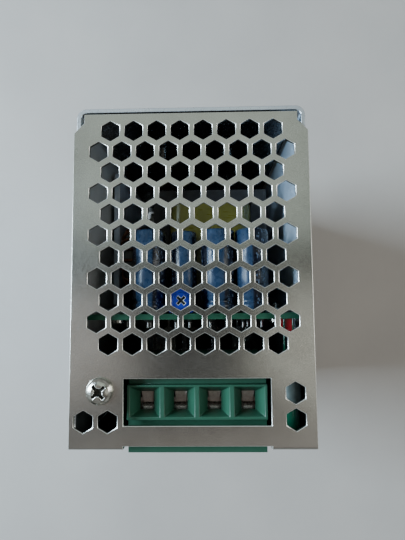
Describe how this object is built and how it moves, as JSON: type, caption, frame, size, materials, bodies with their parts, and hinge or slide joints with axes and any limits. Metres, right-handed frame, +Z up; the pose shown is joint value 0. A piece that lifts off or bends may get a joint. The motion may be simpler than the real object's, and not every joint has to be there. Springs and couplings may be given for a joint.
{
  "type": "din rail power supply",
  "caption": "Tall narrow metal-cased power supply with hexagon vents, green screw terminal blocks at both ends and a sprung rail latch behind.",
  "frame": {"origin": "on the bottom end plate, at the middle of the overall width and depth", "axes": "+Z up along the rail-mounted height, -Y out of the front panel, +Y towards the rail, +X to the right seen from the front"},
  "size_m": [0.0654, 0.1036, 0.1274],
  "materials": {
    "zinc_sheet": "zinc-plated sheet, satin",
    "cover_sheet": "zinc-plated sheet, satin",
    "screw_steel": "bright zinc",
    "housing_green": "moulded, slightly glossy",
    "contact_tin": "tinned",
    "clamp_steel": "plated",
    "board_green": "solder mask",
    "trimmer_blue": "moulded",
    "sleeve_navy": "shrink sleeve",
    "solder": "bright",
    "ferrite": "matt",
    "bobbin_black": "moulded",
    "tape_yellow": "polyester tape",
    "core_grey": "coated ferrite",
    "copper": "enamelled wire",
    "heat_sink": "mill finish",
    "mould_black": "epoxy moulding",
    "film_yellow": "moulded case",
    "film_red": "moulded case",
    "fuse_ceramic": "glazed tube",
    "disc_green": "coating",
    "disc_blue": "coating",
    "chip_white": "moulded",
    "lamp_green": "tinted lens",
    "spacer_grey": "moulded",
    "clip_metal": "extruded, satin",
    "latch_steel": "zinc-plated",
    "spring_steel": "drawn wire",
    "label_film": "printed film"
  },
  "bodies": {
    "case": {"chassis": "zinc_sheet", "wrap_cover": "cover_sheet", "top_cover_screw": "screw_steel", "bottom_cover_screw": "screw_steel", "output_terminal_housing": "housing_green", "input_terminal_housing": "housing_green", "output_terminal_contacts": "contact_tin", "input_terminal_contacts": "contact_tin", "circuit_board": "board_green", "board_screws": "screw_steel", "trimmer_body": "trimmer_blue", "input_capacitors": "sleeve_navy", "solder_joints": "solder", "transformer_core": "ferrite", "transformer_bobbin": "bobbin_black", "transformer_winding": "tape_yellow", "output_choke_core": "core_grey", "output_choke_winding": "copper", "line_filter_core": "core_grey", "line_filter_winding": "copper", "primary_heat_sink": "heat_sink", "output_heat_sink": "heat_sink", "primary_power_devices": "mould_black", "output_power_devices": "mould_black", "device_screws": "screw_steel", "line_capacitor": "film_yellow", "bridge_rectifier": "mould_black", "line_fuse": "fuse_ceramic", "fuse_clips": "contact_tin", "inrush_thermistor": "disc_green", "surge_varistor": "disc_blue", "optocouplers": "chip_white", "control_chip": "mould_black", "film_capacitor": "film_red", "output_lamp": "lamp_green", "lamp_spacer": "spacer_grey", "rail_clip": "clip_metal", "clip_screws": "screw_steel", "latch_spring": "spring_steel", "front_label": "label_film", "output_capacitor_1": "sleeve_navy", "output_capacitor_2": "sleeve_navy", "output_capacitor_3": "sleeve_navy", "output_capacitor_4": "sleeve_navy"},
    "input_terminal_clamp_1": {"input_terminal_clamp_1": "clamp_steel"},
    "input_terminal_clamp_2": {"input_terminal_clamp_2": "clamp_steel"},
    "input_terminal_clamp_3": {"input_terminal_clamp_3": "clamp_steel"},
    "input_terminal_screw_1": {"input_terminal_screw_1": "screw_steel"},
    "input_terminal_screw_2": {"input_terminal_screw_2": "screw_steel"},
    "input_terminal_screw_3": {"input_terminal_screw_3": "screw_steel"},
    "output_terminal_clamp_1": {"output_terminal_clamp_1": "clamp_steel"},
    "output_terminal_clamp_2": {"output_terminal_clamp_2": "clamp_steel"},
    "output_terminal_clamp_3": {"output_terminal_clamp_3": "clamp_steel"},
    "output_terminal_clamp_4": {"output_terminal_clamp_4": "clamp_steel"},
    "output_terminal_screw_1": {"output_terminal_screw_1": "screw_steel"},
    "output_terminal_screw_2": {"output_terminal_screw_2": "screw_steel"},
    "output_terminal_screw_3": {"output_terminal_screw_3": "screw_steel"},
    "output_terminal_screw_4": {"output_terminal_screw_4": "screw_steel"},
    "rail_latch": {"rail_latch": "latch_steel"},
    "trimmer_rotor": {"trimmer_rotor": "trimmer_blue"}
  },
  "joints": [
    {"name": "output_screw_1_turn", "type": "hinge", "parent": "case", "child": "output_terminal_screw_1", "pos_m": [-0.01305, -0.04865, 0.1095], "axis": [0, 1, 0], "range_deg": [-841, 541]},
    {"name": "output_clamp_1_rise", "type": "slide", "parent": "case", "child": "output_terminal_clamp_1", "axis": [0, -1, 0], "range_m": [-0.0014, 0.0009]},
    {"name": "output_screw_2_turn", "type": "hinge", "parent": "case", "child": "output_terminal_screw_2", "pos_m": [-0.00355, -0.04865, 0.1095], "axis": [0, 1, 0], "range_deg": [-841, 541]},
    {"name": "output_clamp_2_rise", "type": "slide", "parent": "case", "child": "output_terminal_clamp_2", "axis": [0, -1, 0], "range_m": [-0.0014, 0.0009]},
    {"name": "output_screw_3_turn", "type": "hinge", "parent": "case", "child": "output_terminal_screw_3", "pos_m": [0.00595, -0.04865, 0.1095], "axis": [0, 1, 0], "range_deg": [-841, 541]},
    {"name": "output_clamp_3_rise", "type": "slide", "parent": "case", "child": "output_terminal_clamp_3", "axis": [0, -1, 0], "range_m": [-0.0014, 0.0009]},
    {"name": "output_screw_4_turn", "type": "hinge", "parent": "case", "child": "output_terminal_screw_4", "pos_m": [0.01545, -0.04865, 0.1095], "axis": [0, 1, 0], "range_deg": [-841, 541]},
    {"name": "output_clamp_4_rise", "type": "slide", "parent": "case", "child": "output_terminal_clamp_4", "axis": [0, -1, 0], "range_m": [-0.0014, 0.0009]},
    {"name": "input_screw_1_turn", "type": "hinge", "parent": "case", "child": "input_terminal_screw_1", "pos_m": [-0.0083, -0.04865, 0.0157], "axis": [0, 1, 0], "range_deg": [-841, 541]},
    {"name": "input_clamp_1_rise", "type": "slide", "parent": "case", "child": "input_terminal_clamp_1", "axis": [0, -1, 0], "range_m": [-0.0014, 0.0009]},
    {"name": "input_screw_2_turn", "type": "hinge", "parent": "case", "child": "input_terminal_screw_2", "pos_m": [0.0012, -0.04865, 0.0157], "axis": [0, 1, 0], "range_deg": [-841, 541]},
    {"name": "input_clamp_2_rise", "type": "slide", "parent": "case", "child": "input_terminal_clamp_2", "axis": [0, -1, 0], "range_m": [-0.0014, 0.0009]},
    {"name": "input_screw_3_turn", "type": "hinge", "parent": "case", "child": "input_terminal_screw_3", "pos_m": [0.0107, -0.04865, 0.0157], "axis": [0, 1, 0], "range_deg": [-841, 541]},
    {"name": "input_clamp_3_rise", "type": "slide", "parent": "case", "child": "input_terminal_clamp_3", "axis": [0, -1, 0], "range_m": [-0.0014, 0.0009]},
    {"name": "trimmer_turn", "type": "hinge", "parent": "case", "child": "trimmer_rotor", "pos_m": [-0.00325, -0.0102, 0.1182], "axis": [0, 0, 1], "range_deg": [-120, 120]},
    {"name": "latch_pull", "type": "slide", "parent": "case", "child": "rail_latch", "axis": [0, 0, -1], "range_m": [0, 0.005], "stiffness_N_per_m": 1500, "springref_m": -0.002, "deforming": ["latch_spring"]}
  ],
  "couplings": [
    {"joint": "output_screw_1_turn", "follows": "output_clamp_1_rise", "rad_per_m": 10472},
    {"joint": "output_screw_2_turn", "follows": "output_clamp_2_rise", "rad_per_m": 10472},
    {"joint": "output_screw_3_turn", "follows": "output_clamp_3_rise", "rad_per_m": 10472},
    {"joint": "output_screw_4_turn", "follows": "output_clamp_4_rise", "rad_per_m": 10472},
    {"joint": "input_screw_1_turn", "follows": "input_clamp_1_rise", "rad_per_m": 10472},
    {"joint": "input_screw_2_turn", "follows": "input_clamp_2_rise", "rad_per_m": 10472},
    {"joint": "input_screw_3_turn", "follows": "input_clamp_3_rise", "rad_per_m": 10472}
  ]
}
